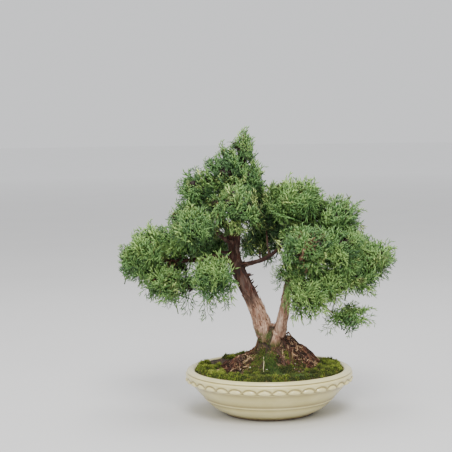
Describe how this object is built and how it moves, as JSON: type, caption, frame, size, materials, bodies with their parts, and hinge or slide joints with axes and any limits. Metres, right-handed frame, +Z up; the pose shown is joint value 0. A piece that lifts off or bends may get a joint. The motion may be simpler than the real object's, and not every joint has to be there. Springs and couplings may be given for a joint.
{
  "type": "kishu juniper bonsai",
  "caption": "Informal twin-trunk kishu juniper bonsai with irregular bunches of scale foliage, growing in mossy soil in an oval cream pot with a band of waves under its rim.",
  "frame": {"origin": "centre of the pot's flat unglazed underside, on the surface the pot stands on", "axes": "+Z up along the tree, +X to the viewer's right, and -Y towards the viewer who faces the bonsai's front"},
  "size_m": [0.3439, 0.1968, 0.355],
  "materials": {
    "pot_glaze": "gloss",
    "soil": "matte",
    "moss": "matte",
    "bark": "matte",
    "foliage": "matte"
  },
  "bodies": {
    "root": {"pot": "pot_glaze", "soil": "soil", "moss_back": "moss", "moss_front": "moss", "moss_left": "moss", "moss_right": "moss", "trunk_and_branches": "bark", "foliage_apex": "foliage", "foliage_centre_behind": "foliage", "foliage_centre_front": "foliage", "foliage_centre_low_back": "foliage", "foliage_crown_back": "foliage", "foliage_crown_left": "foliage", "foliage_crown_right": "foliage", "foliage_far_left_back": "foliage", "foliage_far_left_tip": "foliage", "foliage_far_left_top": "foliage", "foliage_inner_sprig": "foliage", "foliage_left_back_low": "foliage", "foliage_left_inner": "foliage", "foliage_left_mid_back": "foliage", "foliage_left_mid_front": "foliage", "foliage_left_under": "foliage", "foliage_low_left_ball": "foliage", "foliage_low_right_spray": "foliage", "foliage_right_back": "foliage", "foliage_right_dome": "foliage", "foliage_right_dome_back": "foliage", "foliage_right_front_centre": "foliage", "foliage_right_low": "foliage", "foliage_right_low_front": "foliage", "foliage_right_low_mid": "foliage", "foliage_right_mid": "foliage", "foliage_right_tip": "foliage", "foliage_right_upper": "foliage", "foliage_shoulder_left": "foliage"}
  },
  "joints": []
}
